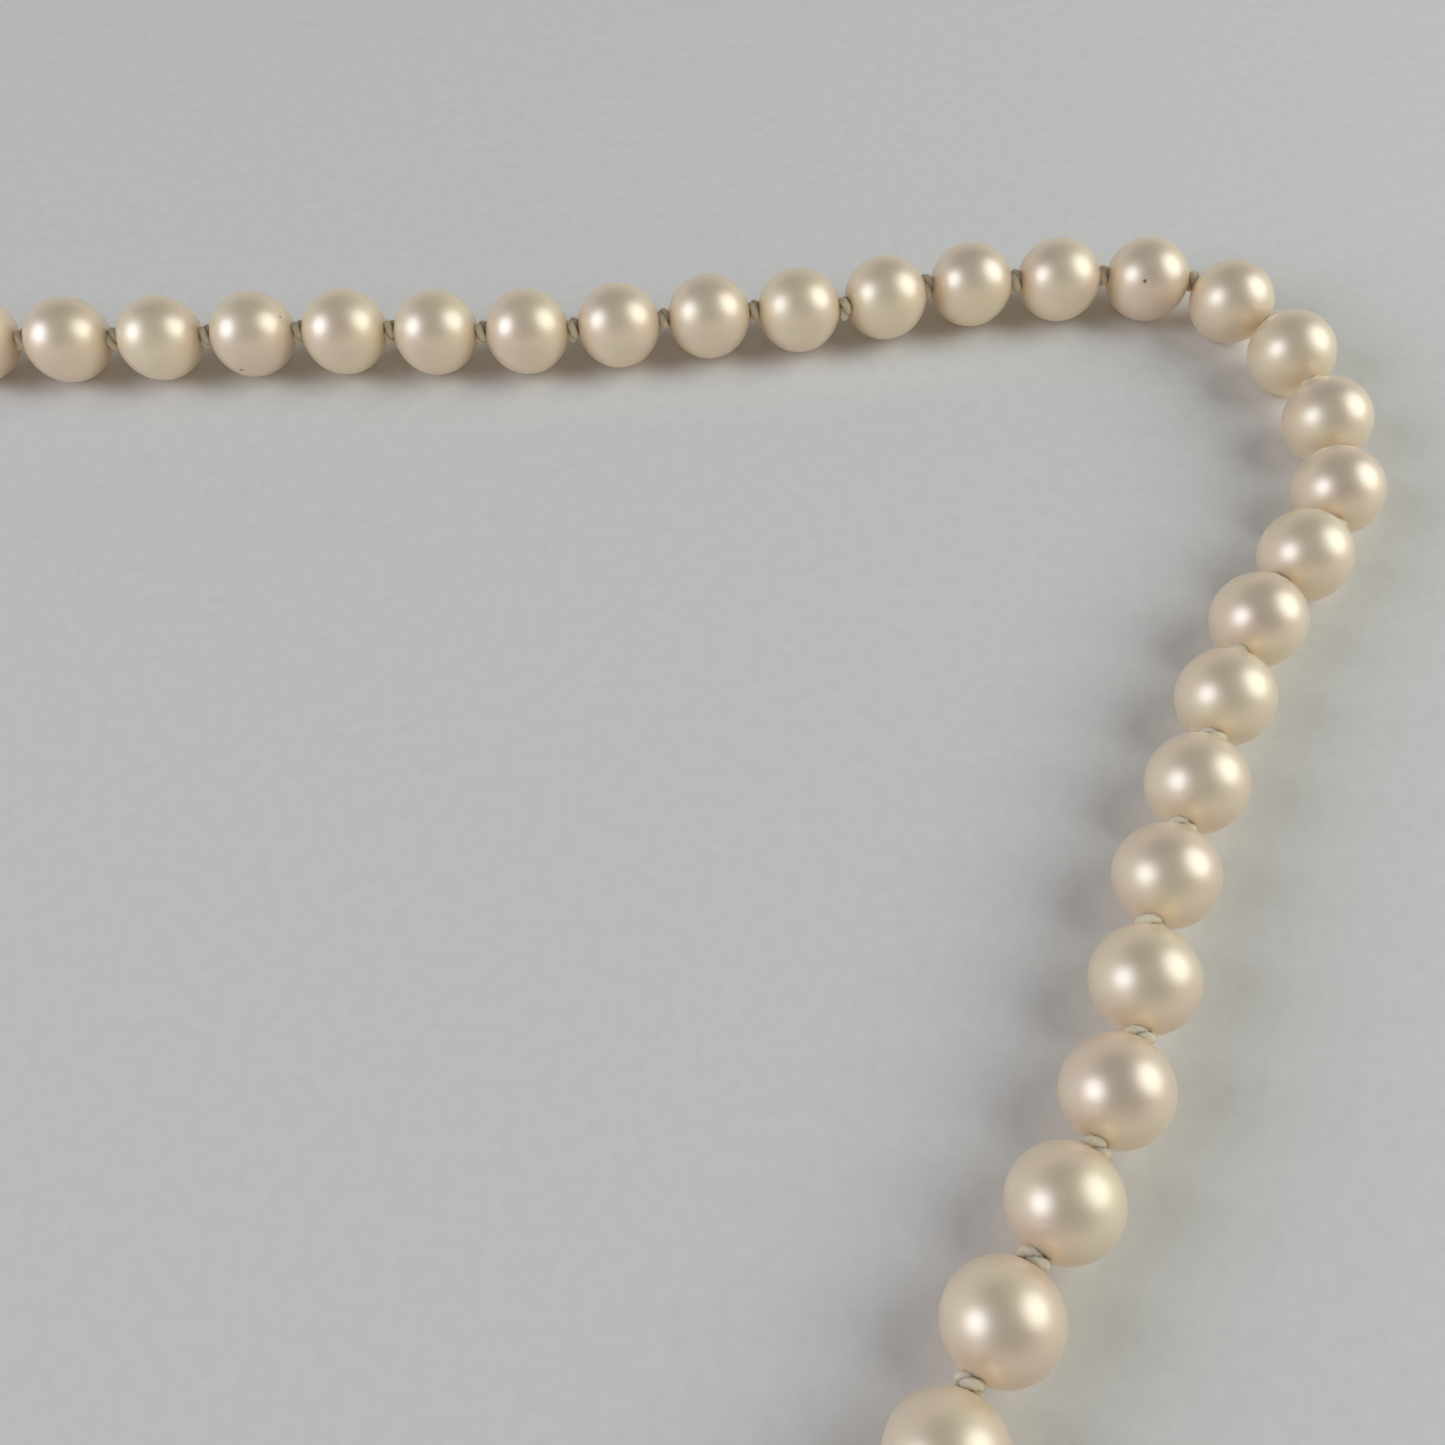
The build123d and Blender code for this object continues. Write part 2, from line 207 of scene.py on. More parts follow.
def cultured_nacre(body, blush, pit_shade):
    """Cultured pearl nacre, grown in layers and polished by tumbling.

    It gives the eye a satin glow from under the surface, soft highlights, clouds of cream and rose, and a few
    pits. The layers' edges are far under a tenth of a millimetre apart, so their grain is drawn coarser, to
    show.
    """
    material, tree = new_material("cultured_nacre")
    place = add_node(tree, "ShaderNodeTexCoord").outputs["Object"]
    clouds = add_node(tree, "ShaderNodeTexNoise", {"Vector": place, "Scale": 1 / (5 * MM), "Detail": 2.0,
                                                   "Roughness": 0.45})
    tint = add_node(tree, "ShaderNodeValToRGB", {"Fac": clouds.outputs["Fac"]})
    for stop, position, colour in zip(tint.color_ramp.elements, (0.35, 0.62), (blush, body)):
        stop.position = position
        stop.color = (*colour, 1)
    cells = add_node(tree, "ShaderNodeTexVoronoi", {"Vector": place, "Scale": 1 / (5.5 * MM),
                                                     "Randomness": 1.0})
    pits = add_node(tree, "ShaderNodeMapRange", {"Value": cells.outputs["Distance"], "From Min": 0.018,
                                                 "From Max": 0.04, "To Min": 1.0, "To Max": 0.0},
                    interpolation_type="SMOOTHSTEP")
    # Inside each pit the colour turns to the dark pit colour: painted shade in the dents that the pits' bump
    # draws.
    shaded_pits = add_node(tree, "ShaderNodeMix", {MIX_SHARE: pits.outputs["Result"],
                                              MIX_FIRST: tint.outputs["Color"],
                                              MIX_SECOND: (*pit_shade, 1)}, data_type="RGBA")
    grain = add_node(tree, "ShaderNodeTexNoise", {"Vector": place, "Scale": 1 / (0.35 * MM), "Detail": 3.0})
    gloss = add_node(tree, "ShaderNodeMapRange", {"Value": clouds.outputs["Fac"], "From Min": 0.3,
                                                  "From Max": 0.7, "To Min": 0.4, "To Max": 0.48})
    orange_peel = add_node(tree, "ShaderNodeBump", {"Height": grain.outputs["Fac"], "Strength": 0.05,
                                                    "Distance": 0.03 * MM})
    dented = add_node(tree, "ShaderNodeBump", {"Height": pits.outputs["Result"], "Strength": 0.7,
                                               "Distance": 0.06 * MM, "Normal": orange_peel.outputs[0]},
                      invert=True)
    shader = add_node(tree, "ShaderNodeBsdfPrincipled", {
        "Base Color": shaded_pits.outputs[MIX_RESULT], "Roughness": gloss.outputs["Result"], "Metallic": 0.36,
        "IOR": 1.66, "Specular Tint": (1.0, 0.96, 0.86, 1), "Subsurface Weight": 0.45,
        "Subsurface Radius": (1.0, 0.72, 0.4), "Subsurface Scale": 1.2 * MM,
        "Coat Weight": 0.75, "Coat Roughness": 0.34, "Coat IOR": 1.9,
        "Sheen Weight": 0.12, "Sheen Roughness": 0.35, "Sheen Tint": (1.0, 0.86, 0.8, 1),
        "Normal": dented.outputs[0]})
    add_node(tree, "ShaderNodeOutputMaterial", {"Surface": shader.outputs[0]})
    return material


def bead_silk(pale, ply_groove_shade):
    """Twisted silk bead cord, three plies pulled tight. It gives the eye a soft sheen across slanting fibres.

    Single fibres are about a hundredth of a millimetre thick, so they are drawn as coarser strands, to show.
    """
    material, tree = new_material("twisted_silk_cord")
    place = add_node(tree, "ShaderNodeTexCoord")
    lie = add_node(tree, "ShaderNodeMapping", {"Vector": place.outputs["UV"],
                                                  "Rotation": (0, 0, math.radians(35))})
    fibres = add_node(tree, "ShaderNodeTexWave", {"Vector": lie.outputs[0], "Scale": 9.0, "Distortion": 1.5,
                                                  "Detail": 2.0})
    wool = add_node(tree, "ShaderNodeTexNoise", {"Vector": place.outputs["Object"], "Scale": 1 / (0.3 * MM),
                                                 "Detail": 4.0})
    # The fibres' wave also drives the bump, so the colour goes to the darker one in the twist's grooves:
    # painted shade between the plies, times a random tone from the wool noise.
    groove_shade_and_tone = add_node(tree, "ShaderNodeMath", {0: fibres.outputs["Fac"], 1: wool.outputs["Fac"]},
                       operation="MULTIPLY")
    tint = add_node(tree, "ShaderNodeMix", {MIX_SHARE: groove_shade_and_tone.outputs[0], MIX_FIRST: (*ply_groove_shade, 1),
                                            MIX_SECOND: (*pale, 1)}, data_type="RGBA")
    twist = add_node(tree, "ShaderNodeBump", {"Height": fibres.outputs["Fac"], "Strength": 0.3,
                                              "Distance": 0.03 * MM})
    shader = add_node(tree, "ShaderNodeBsdfPrincipled", {
        "Base Color": tint.outputs[MIX_RESULT], "Roughness": 0.62, "Normal": twist.outputs[0],
        "Sheen Weight": 0.9, "Sheen Roughness": 0.3, "Sheen Tint": (1.0, 0.84, 0.62, 1),
        "Subsurface Weight": 0.7, "Subsurface Radius": (1.0, 0.85, 0.7), "Subsurface Scale": 0.8 * MM})
    add_node(tree, "ShaderNodeOutputMaterial", {"Surface": shader.outputs[0]})
    return material


def gilt_brass(name, gold, worn, smooth, rough):
    """Brass plated with yellow gold and buffed.

    It gives the eye a warm mirror, hazed by fine hairline scratches. Real hairlines are a few thousandths of a
    millimetre wide, so they are drawn coarser, to show.
    """
    material, tree = new_material(name)
    place = add_node(tree, "ShaderNodeTexCoord").outputs["Object"]
    haze = add_node(tree, "ShaderNodeTexNoise", {"Vector": place, "Scale": 1 / (2.2 * MM), "Detail": 4.0})
    long = add_node(tree, "ShaderNodeMapping", {"Vector": place, "Rotation": (0.3, 0.2, 0.9),
                                                   "Scale": (1, 14, 6)})
    scratches = add_node(tree, "ShaderNodeTexNoise", {"Vector": long.outputs[0], "Scale": 1 / (2.0 * MM),
                                                      "Detail": 3.0})
    tint = add_node(tree, "ShaderNodeMix", {MIX_SHARE: haze.outputs["Fac"], MIX_FIRST: (*gold, 1),
                                            MIX_SECOND: (*worn, 1)}, data_type="RGBA")
    gloss = add_node(tree, "ShaderNodeMapRange", {"Value": haze.outputs["Fac"], "From Min": 0.3,
                                                  "From Max": 0.7, "To Min": smooth, "To Max": rough})
    buffed = add_node(tree, "ShaderNodeBump", {"Height": scratches.outputs["Fac"], "Strength": 0.12,
                                               "Distance": 0.02 * MM})
    shader = add_node(tree, "ShaderNodeBsdfPrincipled", {
        "Base Color": tint.outputs[MIX_RESULT], "Metallic": 1.0, "Roughness": gloss.outputs["Result"],
        "Normal": buffed.outputs[0]})
    add_node(tree, "ShaderNodeOutputMaterial", {"Surface": shader.outputs[0]})
    return material


def pale_card(pale, fleck):
    """Pale matt card, calendered. It gives the eye an even field with faint fibres and soft shadows.

    Paper fibres are a few hundredths of a millimetre thick, so they are drawn as coarser flecks, to show.
    """
    material, tree = new_material("pale_card")
    place = add_node(tree, "ShaderNodeTexCoord").outputs["Object"]
    fibres = add_node(tree, "ShaderNodeTexNoise", {"Vector": place, "Scale": 1 / (1.2 * MM), "Detail": 6.0,
                                                   "Roughness": 0.6})
    tint = add_node(tree, "ShaderNodeMix", {MIX_SHARE: fibres.outputs["Fac"], MIX_FIRST: (*fleck, 1),
                                            MIX_SECOND: (*pale, 1)}, data_type="RGBA")
    tooth = add_node(tree, "ShaderNodeBump", {"Height": fibres.outputs["Fac"], "Strength": 0.12,
                                              "Distance": 0.1 * MM})
    shader = add_node(tree, "ShaderNodeBsdfPrincipled", {
        "Base Color": tint.outputs[MIX_RESULT], "Roughness": 0.85, "Normal": tooth.outputs[0]})
    add_node(tree, "ShaderNodeOutputMaterial", {"Surface": shader.outputs[0]})
    return material


# ---- Sizes and colours that can be changed ----
class PearlSettings(bpy.types.PropertyGroup):
    """Sizes and colours of the pearls"""

    body: bpy.props.FloatVectorProperty(name="Body colour", description="Cream of the nacre", subtype="COLOR",
                                        default=linear("F8E4C2"), min=0, max=1)
    blush: bpy.props.FloatVectorProperty(name="Overtone", description="Rose clouds in the nacre",
                                         subtype="COLOR", default=linear("F2DABF"), min=0, max=1)
    # The pit colour is painted shade inside the small pits.
    pit_shade: bpy.props.FloatVectorProperty(name="Pit colour", description="Inside of the small pits",
                                       subtype="COLOR", default=linear("8A7358"), min=0, max=1)
    bore: bpy.props.FloatProperty(name="Drill hole", description="Diameter of the hole through each pearl",
                                  default=0.8 * MM, unit="LENGTH")
    mouth: bpy.props.FloatProperty(name="Mouth rounding", default=0.08 * MM, unit="LENGTH",
                                   description="Rounding where the hole meets the surface")
    uneven: bpy.props.FloatProperty(name="Unevenness", description="How far a pearl dips below a true sphere",
                                    default=0.012, min=0, max=0.05, subtype="FACTOR")
    smaller: bpy.props.FloatProperty(name="Size spread", description="How much smaller the least pearl is",
                                     default=0.014, min=0, max=0.05, subtype="FACTOR")


class SilkSettings(bpy.types.PropertyGroup):
    """Sizes and colours of the silk cord"""

    pale: bpy.props.FloatVectorProperty(name="Silk", description="Colour of the cord", subtype="COLOR",
                                        default=linear("FFECD0"), min=0, max=1)
    # The colour between plies is painted shade in the twist's grooves.
    ply_groove_shade: bpy.props.FloatVectorProperty(name="Between plies", description="Colour deep in the twist",
                                         subtype="COLOR", default=linear("FADFBE"), min=0, max=1)
    cord: bpy.props.FloatProperty(name="Cord", description="Diameter of the cord through the pearls",
                                  default=0.5 * MM, unit="LENGTH")
    lay: bpy.props.FloatProperty(name="Lay", description="Length in which the plies turn once round",
                                 default=1.1 * MM, unit="LENGTH")
    winding: bpy.props.FloatProperty(name="Knot winding", description="Radius that the knot's turns wind on",
                                     default=0.42 * MM, unit="LENGTH")
    bulge: bpy.props.FloatProperty(name="Knot bulge", description="How far a knot's turns sway in and out",
                                   default=0.2 * MM, unit="LENGTH")
    fatness: bpy.props.FloatProperty(name="Knotted cord", default=0.3 * MM, unit="LENGTH",
                                     description="Radius of the cord pulled tight in a knot")


class GiltSettings(bpy.types.PropertyGroup):
    """Sizes and colours of the gimp and the clasp"""

    gold: bpy.props.FloatVectorProperty(name="Gold", description="Colour of the plating", subtype="COLOR",
                                        default=linear("F6D893"), min=0, max=1)
    worn: bpy.props.FloatVectorProperty(name="Worn gold", description="Colour where the plating is thin",
                                        subtype="COLOR", default=linear("E9C073"), min=0, max=1)
    coil: bpy.props.FloatProperty(name="Coil", description="Outer radius of the gimp", default=0.47 * MM,
                                  unit="LENGTH")
    coil_wire: bpy.props.FloatProperty(name="Coil wire", description="Thickness of the gimp's wire",
                                       default=0.15 * MM, unit="LENGTH")
    coil_pitch: bpy.props.FloatProperty(name="Coil pitch", default=0.21 * MM, unit="LENGTH",
                                        description="Distance from one turn of the gimp to the next")
    loop: bpy.props.FloatProperty(name="Loop", description="Radius of the gimp's turn round the ring's wire",
                                  default=1.02 * MM, unit="LENGTH")
    spread: bpy.props.FloatProperty(name="Loop spread", default=math.radians(12), subtype="ANGLE",
                                    description="Angle of each leg of the loop from its middle")
    ring: bpy.props.FloatProperty(name="Ring", description="Radius of the rings at the middle of their wire",
                                  default=1.49 * MM, unit="LENGTH")


class StageSettings(bpy.types.PropertyGroup):
    """Floor, lights and camera"""

    floor: bpy.props.FloatVectorProperty(name="Floor", description="Colour of the card underneath",
                                         subtype="COLOR", default=linear("EFEAE2"), min=0, max=1)
    fleck: bpy.props.FloatVectorProperty(name="Fleck", description="Darker fibres in the card",
                                         subtype="COLOR", default=linear("E0DBD3"), min=0, max=1)
    aim: bpy.props.FloatVectorProperty(name="Aim", description="Point on the floor that the camera looks at",
                                       default=(55.7 * MM, 40.5 * MM, 0.0), subtype="TRANSLATION",
                                       unit="LENGTH")
    distance: bpy.props.FloatProperty(name="Camera distance", description="From the camera to its aim",
                                      default=103.8 * MM, unit="LENGTH")
    tilt: bpy.props.FloatProperty(name="Camera tilt", description="How far the camera looks down",
                                  default=math.radians(57.81), subtype="ANGLE")
    turn: bpy.props.FloatProperty(name="Camera turn", description="How far the camera looks to the left",
                                  default=math.radians(0.33), subtype="ANGLE")


# ---- Where the strand lies ----
def strand():
    """Knot centres from the tongue's end to the housing's, and the direction through each pearl."""
    names = ["tongue_knot"] + [f"knot_{i:02d}" for i in range(1, len(PEARLS))] + ["housing_knot"]
    knots = np.array([JOINTS[name]["pos_m"] for name in names])
    ways = np.diff(knots, axis=0)
    return knots, ways / np.linalg.norm(ways, axis=1, keepdims=True)


# ---- Pearls ----
def pearl_surface(radius, bore, mouth, uneven, rng):
    """A pearl as a closed outline carried round its drill hole, which makes one surface with no pole.

    The outline is a half circle from mouth to mouth, a quarter circle into each mouth, and the bore between
    them. Every point is then drawn in by a mean of slow cosines of its direction, less so close to the hole.
    """
    rings, sides, corner_steps = 46, 64, 5
    reach = bore / 2 + mouth
    start = math.asin(reach / radius)
    polar = np.linspace(start, np.pi - start, rings)
    edge = radius * math.cos(start)
    corner = np.linspace(0, np.pi / 2, corner_steps)[1:]
    into = np.stack([-edge + mouth - mouth * np.cos(corner), reach - mouth * np.sin(corner)], -1)
    outer = np.stack([radius * np.cos(polar), radius * np.sin(polar)], -1)
    back = into[::-1] * (-1, 1)
    outline = np.vstack([outer, into, back])
    angle = np.linspace(0, 2 * np.pi, sides, endpoint=False)
    along = np.broadcast_to(outline[:, :1], (len(outline), sides))
    points = np.stack([along, outline[:, 1:] * np.cos(angle), outline[:, 1:] * np.sin(angle)], -1)
    facing = points / np.linalg.norm(points, axis=-1, keepdims=True)
    count, pace, fade = 4, 2.4, 4
    waves = rng.normal(size=(count, 3))
    waves /= np.linalg.norm(waves, axis=1, keepdims=True)
    phase = rng.uniform(0, 2 * np.pi, count)
    dip = (0.5 + 0.5 * np.cos(pace * facing @ waves.T + phase)).mean(-1)
    height = np.linalg.norm(points[..., 1:], axis=-1) / radius
    draw = 1 - uneven * dip * np.clip(height * fade, 0, 1)
    return points * draw[..., None]


class NECKLACE_OT_pearls(bpy.types.Operator):
    """Build every pearl of the strand"""

    bl_idname = "necklace.pearls"
    bl_label = "Pearls"

    def execute(self, context):
        settings = context.scene.necklace_pearls
        nacre = cultured_nacre(settings.body, settings.blush, settings.pit_shade)
        knots, ways = strand()
        rng = np.random.default_rng(50)
        for index, name in enumerate(PEARLS):
            radius = PEARL_DIAMETER / 2 * (1 - settings.smaller * rng.uniform())
            centre = (knots[index] + knots[index + 1]) / 2
            centre[2] = radius
            points = pearl_surface(radius, settings.bore, settings.mouth, settings.uneven, rng)
            shape = surface(placed(points, centre, ways[index]), round_u=True, round_v=True)
            piece = show(f"nacre_{name}", [shape], nacre)
            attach(piece, name)
            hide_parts(name)
        return {"FINISHED"}


# ---- Silk ----
def knot_surface(settings, origin, along, size, spin):
    """A tight overhand knot as a closed cord on a ring round the strand.

    The cord goes twice round the strand while it sways three times in and out and fore and aft, so that its
    two passes cross over each other. Its section is a three-ply one.
    """
    samples, sides, flatness = 120, 12, 0.8
    t = np.linspace(0, 2 * np.pi, samples, endpoint=False)
    out = (settings.winding + settings.bulge * np.cos(3 * t)) * size
    fore = flatness * settings.bulge * np.sin(3 * t) * size
    path = np.stack([fore, out * np.cos(2 * t + spin), out * np.sin(2 * t + spin)], -1)
    hint = np.stack([np.zeros_like(t), np.cos(2 * t + spin), np.sin(2 * t + spin)], -1)
    length = np.linalg.norm(np.diff(path, axis=0, append=path[:1]), axis=1).sum()
    lays = max(1, round(length / settings.lay * 3)) / 3
    turn = t * lays
    angle = np.linspace(0, 2 * np.pi, sides, endpoint=False)
    lobe = np.abs(np.cos(1.5 * (angle[None] - turn[:, None])))
    radius = settings.fatness * size * (0.86 + 0.14 * lobe)
    around = tube(wrapped(path), sides, wrapped(radius), wrapped(hint))
    return surface(placed(around[1:-1], origin, along), round_u=True, round_v=True, turns=lays * 3)


def run_surface(settings, start, end):
    """The cord through one pearl: a three-ply tube from one knot's middle to the next."""
    length = np.linalg.norm(end - start)
    samples, sides = 64, 12
    path = np.stack([np.linspace(0, length, samples), np.zeros(samples), np.zeros(samples)], -1)
    radius = plies(length, samples, sides, settings.cord / 2, settings.lay)
    around = tube(path, sides, radius, np.array([[0.0, 1.0, 0.0]]))
    points = placed(around, start, end - start)
    return surface(points, round_v=True, cap_start=True, cap_end=True, turns=length / settings.lay * 3)


def loop_path(knot, ring_centre, ring_radius, loop, spread, start, samples):
    """The loop at one end of the strand, the direction across it, and its length.

    Two straight legs and an arc between them, in the upright plane from the end knot to the ring's wire:
    points are laid out by length, first down one leg, then round the wire, then back.
    """
    plan = (ring_centre - knot) * (1, 1, 0)
    heading = plan / np.linalg.norm(plan)
    target = ring_centre - heading * ring_radius
    ahead = (target - knot) / np.linalg.norm(target - knot)
    reach = np.linalg.norm(target - knot)
    side = np.cross((0, 0, 1), heading)
    over = np.cross(ahead, side)
    touch = reach - loop * math.sin(spread)
    leg = (touch - start) / math.cos(spread)
    arc = loop * (np.pi + 2 * spread)
    s = np.linspace(0, 2 * leg + arc, samples)
    angle = np.pi / 2 + spread - np.clip(s - leg, 0, arc) / loop
    bend_x = reach + loop * np.cos(angle)
    bend_z = loop * np.sin(angle)
    before = np.clip(leg - s, 0, None)
    after = np.clip(s - leg - arc, 0, None)
    x = bend_x - (before + after) * math.cos(spread)
    z = bend_z - before * math.sin(spread) + after * math.sin(spread)
    path = knot + x[:, None] * ahead + z[:, None] * over
    return path, np.broadcast_to(side, path.shape), 2 * leg + arc


class NECKLACE_OT_silk(bpy.types.Operator):
    """Build the knots, the cord through the pearls and the loop at each end"""

    bl_idname = "necklace.silk"
    bl_label = "Silk cord and knots"

    def execute(self, context):
        settings = context.scene.necklace_silk
        gilt = context.scene.necklace_gilt
        silk = bead_silk(settings.pale, settings.ply_groove_shade)
        knots, ways = strand()
        rng = np.random.default_rng(51)
        # Half the length over which a knot bends from one pearl to the next, how far it is pushed out of the
        # bend, and where each end loop starts beyond its knot.
        room, pushed, start = 0.35 * MM, 0.22 * MM, 0.1 * MM
        smallest, largest = 1.04, 1.18
        ends = {side: (np.array(JOINTS[f"{side}_ring_swivel"]["pos_m"]), knot)
                for side, knot in (("tongue", knots[0]), ("housing", knots[-1]))}
        leaving = [(ring - knot) * (1, 1, 0) for ring, knot in ends.values()]
        before = np.vstack([-leaving[0] / np.linalg.norm(leaving[0]), ways])
        after = np.vstack([ways, leaving[1] / np.linalg.norm(leaving[1])])
        for index, knot in enumerate(knots):
            lean = before[index] + after[index]
            lean /= np.linalg.norm(lean)
            middle = knot + (before[index] - after[index]) * pushed
            size, spin = rng.uniform(smallest, largest), rng.uniform(0, 2 * np.pi)
            shapes = [knot_surface(settings, middle, lean, size, spin)]
            if index:
                shapes.append(run_surface(settings, knots[index - 1], knot))
            piece = show(f"silk_{index:02d}", shapes, silk)
            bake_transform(piece)
            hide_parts("silk_thread")
        for side, (ring, knot) in ends.items():
            samples, sides = 90, 12
            path, across, length = loop_path(knot, ring, gilt.ring, gilt.loop, gilt.spread, start, samples)
            radius = plies(length, samples, sides, settings.cord / 2, settings.lay)
            shape = surface(tube(path, sides, radius, across), round_v=True, cap_start=True, cap_end=True,
                            turns=length / settings.lay * 3)
            piece = show(f"silk_loop_{side}", [shape], silk)
            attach(piece, f"{side}_gimp")
            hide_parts("silk_thread")
        return {"FINISHED"}


# ---- Gimp ----
class NECKLACE_OT_gimp(bpy.types.Operator):
    """Build the fine coil that guards the silk at each ring"""

    bl_idname = "necklace.gimp"
    bl_label = "Gimp coils"

    def execute(self, context):
        settings = context.scene.necklace_gilt
        wire = gilt_brass("gilt_gimp_wire", settings.gold, settings.worn, 0.22, 0.34)
        knots = strand()[0]
        for side, knot in (("tongue", knots[0]), ("housing", knots[-1])):
            ring = np.array(JOINTS[f"{side}_ring_swivel"]["pos_m"])
            start, sides, steps_per_turn, inside_step = 0.45 * MM, 18, 9, 6
            loop = (knot, ring, settings.ring, settings.loop, settings.spread, start)
            length = loop_path(*loop, samples=2)[2]
            samples = int(length / settings.coil_pitch * steps_per_turn)
            path, across, _ = loop_path(*loop, samples)
            # The outside is a close coil: its radius rises and falls once in each pitch along the path, and
            # the crest moves once round as it does so. The inside is a plain tube run backwards with fewer
            # rings, so the whole is closed.
            angle = np.linspace(0, 2 * np.pi, sides, endpoint=False)
            crest = 2 * np.pi * np.linspace(0, length, samples)[:, None] / settings.coil_pitch - angle[None]
            radius = settings.coil - settings.coil_wire / 2 * (1 - np.abs(np.cos(crest / 2)) ** 0.6)
            outside = tube(path, sides, radius, across)
            inside = tube(path, sides, settings.coil - settings.coil_wire, across)[::-inside_step]
            points = np.concatenate([outside, inside])
            shape = surface(points, round_u=True, round_v=True)
            piece = show(f"gimp_coil_{side}", [shape], wire)
            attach(piece, f"{side}_gimp")
            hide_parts(f"{side}_gimp")
        return {"FINISHED"}


# ---- Clasp ----
def ring_surface(centre, along, radius, wire):
    """A wire ring, open where it is soldered: a circle of wire along an arc, thicker at both ends."""
    samples, sides = 96, 20
    gap, thicker, reach = math.radians(24), 0.35, 0.22
    t = np.linspace(gap, 2 * np.pi - gap, samples)
    path = np.stack([radius * np.cos(t), radius * np.sin(t), np.zeros(samples)], -1)
    swell = 1 + thicker * np.exp(-((np.minimum(t - gap, 2 * np.pi - gap - t) / reach) ** 2))
    hint = np.stack([np.zeros(samples), np.zeros(samples), np.ones(samples)], -1)
    around = tube(path, sides, (wire / 2 * swell)[:, None], hint)
    return surface(placed(around, centre, along), round_v=True, cap_start=True, cap_end=True)


def rounded_border(half_length, half_width, samples):
    """Points at even spacing round a superellipse, and its length.

    Each coordinate is its half size times a power of the cosine or sine just under a half, with its sign.
    """
    t = np.linspace(0, 2 * np.pi, 2881)
    power = 0.45
    x = half_length * np.sign(np.cos(t)) * np.abs(np.cos(t)) ** power
    y = half_width * np.sign(np.sin(t)) * np.abs(np.sin(t)) ** power
    so_far = np.concatenate([[0], np.cumsum(np.hypot(np.diff(x), np.diff(y)))])
    s = np.linspace(0, so_far[-1], samples, endpoint=False)
    return np.stack([np.interp(s, so_far, x), np.interp(s, so_far, y)], -1), so_far[-1]


def panel_surface(centre, along, half_length, half_width, rise):
    """A low engraved pillow for the cover.

    A skirt below the rim, then shares of a superellipse from its rim inwards, raised by one less the fourth
    power of the share, with a sunburst of shallow flutes that fade towards the middle and the rim. Known
    fault: its faces point inwards.
    """
    samples, rays, depth, skirt_depth = 256, 32, 0.07 * MM, 0.1 * MM
    border, _ = rounded_border(half_length, half_width, samples)
    share = np.linspace(1.0, 0.05, 30)
    flat = border[None] * share[:, None, None]
    flutes = 0.5 + 0.5 * np.cos(rays * np.linspace(0, 2 * np.pi, samples, endpoint=False))
    inner, outer, inner_fade, outer_fade = 0.18, 0.94, 6, 12
    window = np.clip((share - inner) * inner_fade, 0, 1) * np.clip((outer - share) * outer_fade, 0, 1)
    height = rise * (1 - share[:, None] ** 4) - depth * window[:, None] * flutes[None]
    top = np.concatenate([flat, height[..., None]], -1)
    skirt = np.concatenate([border, np.full((samples, 1), -skirt_depth)], -1)[None]
    points = placed(np.concatenate([skirt, top]), centre, along)
    return surface(points, round_v=True, cap_start=True, cap_end=True)


def beaded_wire_surface(centre, along, half_length, half_width, wire, bead):
    """Beaded wire round a border: a tube whose radius follows a rectified sine, one hump for each bead."""
    beads = round(rounded_border(half_length, half_width, 8)[1] / bead)
    samples, sides = beads * 8, 10
    border, _ = rounded_border(half_length, half_width, samples)
    path = np.column_stack([border, np.zeros(samples)])
    hump = np.abs(np.sin(np.pi * beads * np.linspace(0, 1, samples, endpoint=False)))
    radius = wire / 2 * (0.5 + 0.5 * hump ** 0.7)
    points = tube(wrapped(path), sides, wrapped(radius)[:, None], np.array([[0.0, 0.0, 1.0]]))[1:-1]
    return surface(placed(points, centre, along), round_u=True, round_v=True)


class NECKLACE_OT_clasp(bpy.types.Operator):
    """Build the rings and the cover's ornament, and finish the clasp's plain parts"""

    bl_idname = "necklace.clasp"
    bl_label = "Box clasp"

    def execute(self, context):
        settings = context.scene.necklace_gilt
        gilt = gilt_brass("gilt_polished_brass", settings.gold, settings.worn, 0.14, 0.28)
        for node in ("housing_tray", "housing_cover", "catch_bars", "tongue_plate", "spring_leaf"):
            plain = frame["nodes"][node].data
            plain.materials.clear()
            plain.materials.append(gilt)
        for side, body in (("tongue", "tongue"), ("housing", "clasp_housing")):
            centre = np.array(JOINTS[f"{side}_ring_swivel"]["pos_m"])
            plate = "tongue_plate" if side == "tongue" else "housing_tray"
            low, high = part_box(plate)
            middle = (np.array(low) + np.array(high)) / 2
            along = (middle - centre) * (1, 1, 0)
            shape = ring_surface(centre, along, settings.ring, RING_WIRE)
            piece = show(f"wire_ring_{side}", [shape], gilt)
            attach(piece, body)
            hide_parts(f"{side}_ring")
        low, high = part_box("housing_cover")
        middle = (np.array(low) + np.array(high)) / 2
        along = (middle - np.array(JOINTS["housing_ring_swivel"]["pos_m"])) * (1, 1, 0)
        along /= np.linalg.norm(along)
        # The ornament sits towards the ring, clear of the slot in the cover's other end.
        setback, half_length, half_width, rise = 0.7 * MM, 3.9 * MM, 2.0 * MM, 0.34 * MM
        border_half_length, border_half_width, wire, bead = 4.15 * MM, 2.25 * MM, 0.36 * MM, 0.34 * MM
        top = middle * (1, 1, 0) + np.array((0, 0, CLASP_HEIGHT)) - along * setback
        panel = panel_surface(top, along, half_length, half_width, rise)
        border = beaded_wire_surface(top, along, border_half_length, border_half_width, wire, bead)
        piece = show("cover_ornament", [panel, border], gilt)
        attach(piece, "clasp_housing")
        return {"FINISHED"}


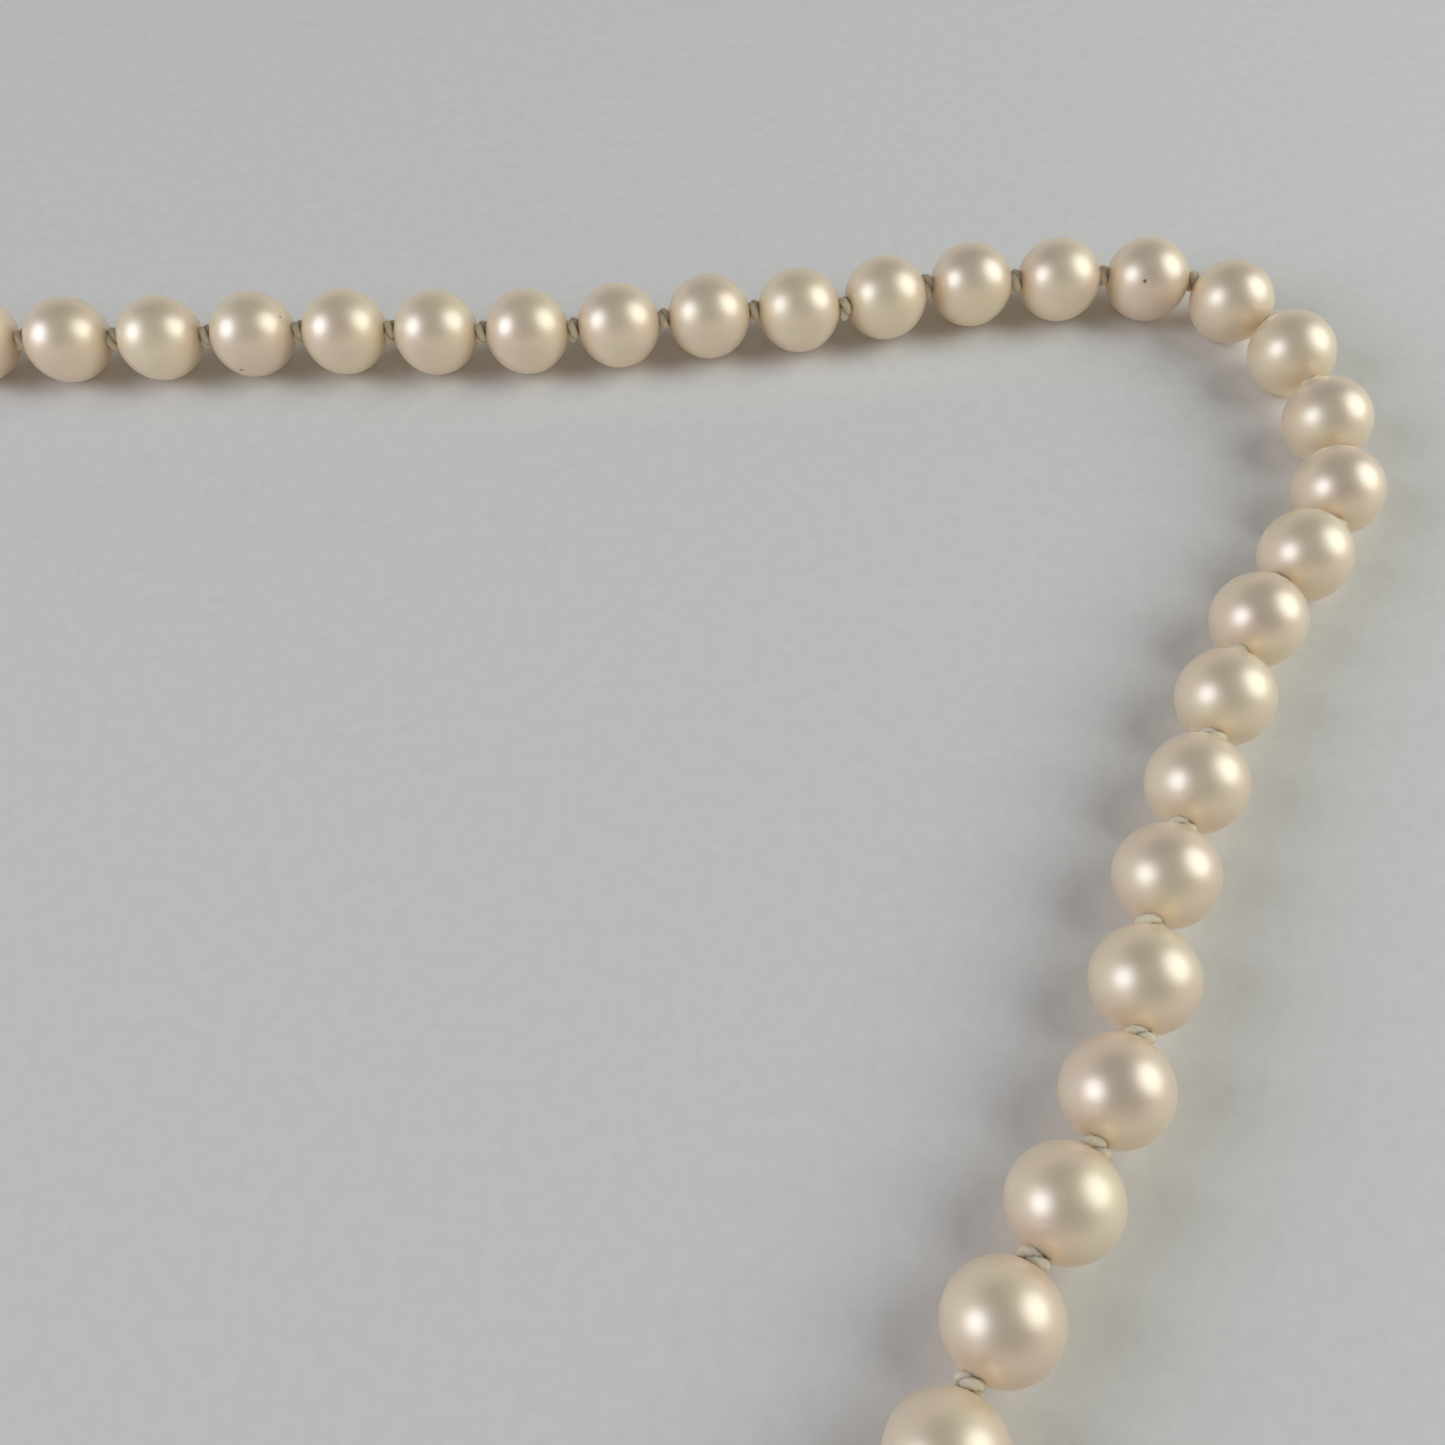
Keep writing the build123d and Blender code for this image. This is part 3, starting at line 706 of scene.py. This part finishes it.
# ---- Stage ----
class NECKLACE_OT_stage(bpy.types.Operator):
    """Lay the floor and set the lights and the camera"""

    bl_idname = "necklace.stage"
    bl_label = "Floor, lights and camera"

    def execute(self, context):
        settings = context.scene.necklace_stage
        scene = context.scene
        half_floor = 0.8
        side = np.linspace(-half_floor, half_floor, 9)
        x, y = np.meshgrid(side, side, indexing="ij")
        sheet = surface(np.stack([x, y, np.zeros_like(x)], -1))
        floor = joined("floor", [sheet], pale_card(settings.floor, settings.fleck))
        world = bpy.data.worlds.new("room")
        world.use_nodes = True
        room = world.node_tree
        way = add_node(room, "ShaderNodeTexCoord").outputs["Generated"]
        height = add_node(room, "ShaderNodeSeparateXYZ", {0: way}).outputs["Z"]
        glow = add_node(room, "ShaderNodeMapRange", {"Value": height, "From Min": 0.05, "From Max": 0.7,
                                                     "To Min": 0.9, "To Max": 0.06})
        room.nodes["Background"].inputs["Color"].default_value = (*linear("E4E2DE"), 1)
        room.links.new(glow.outputs["Result"], room.nodes["Background"].inputs["Strength"])
        scene.world = world
        scene.view_settings.view_transform = "Standard"
        aim = np.array(settings.aim)
        # Each light: its name, its bearing and height in degrees, its distance and width in metres, its power
        # in watts and its colour.
        lights = (
            ("window_right", 8, 38, 0.6, 0.54, 2.1, "F2FCFF"),
            ("window_left", -167, 32, 0.6, 0.4, 1.75, "DEE9FF"),
        )
        for name, bearing, height, distance, width, power, colour in lights:
            lamp = bpy.data.lights.new(name, "AREA")
            lamp.shape = "DISK"
            lamp.size = width
            lamp.energy = power
            lamp.color = linear(colour)
            light = bpy.data.objects.new(name, lamp)
            up, out = math.sin(math.radians(height)), math.cos(math.radians(height))
            way = np.array((out * math.cos(math.radians(bearing)), out * math.sin(math.radians(bearing)), up))
            light.location = aim + distance * way
            light.rotation_euler = (math.radians(90 - height), 0, math.radians(bearing + 90))
            scene.collection.objects.link(light)
        lens = bpy.data.cameras.new("camera")
        lens.lens = 36.0
        lens.sensor_width = 36.0
        lens.clip_start = 2 * MM
        lens.clip_end = 20.0
        camera = bpy.data.objects.new("camera", lens)
        flat, drop = math.cos(settings.tilt), math.sin(settings.tilt)
        look = np.array((-math.sin(settings.turn) * flat, math.cos(settings.turn) * flat, -drop))
        camera.location = aim - settings.distance * look
        camera.rotation_euler = (math.pi / 2 - settings.tilt, 0, settings.turn)
        scene.collection.objects.link(camera)
        scene.camera = camera
        return {"FINISHED"}


OPERATORS = (NECKLACE_OT_pearls, NECKLACE_OT_silk, NECKLACE_OT_gimp, NECKLACE_OT_clasp, NECKLACE_OT_stage)


class NECKLACE_PT_pieces(bpy.types.Panel):
    """The pieces of the necklace"""

    bl_idname = "NECKLACE_PT_pieces"
    bl_label = "Pearl necklace"
    bl_space_type = "VIEW_3D"
    bl_region_type = "UI"
    bl_category = "Necklace"

    def draw(self, context):
        for operator in OPERATORS:
            self.layout.operator(operator.bl_idname)


GROUPS = {
    "necklace_pearls": PearlSettings,
    "necklace_silk": SilkSettings,
    "necklace_gilt": GiltSettings,
    "necklace_stage": StageSettings,
}
CLASSES = (*GROUPS.values(), *OPERATORS, NECKLACE_PT_pieces)


def register():
    for item in CLASSES:
        bpy.utils.register_class(item)
    for name, group in GROUPS.items():
        setattr(bpy.types.Scene, name, bpy.props.PointerProperty(type=group))


def unregister():
    for name in GROUPS:
        delattr(bpy.types.Scene, name)
    for item in reversed(CLASSES):
        bpy.utils.unregister_class(item)


def main():
    register()
    bpy.ops.necklace.pearls()
    bpy.ops.necklace.silk()
    bpy.ops.necklace.gimp()
    bpy.ops.necklace.clasp()
    bpy.ops.necklace.stage()


if __name__ == "__main__":
    main()
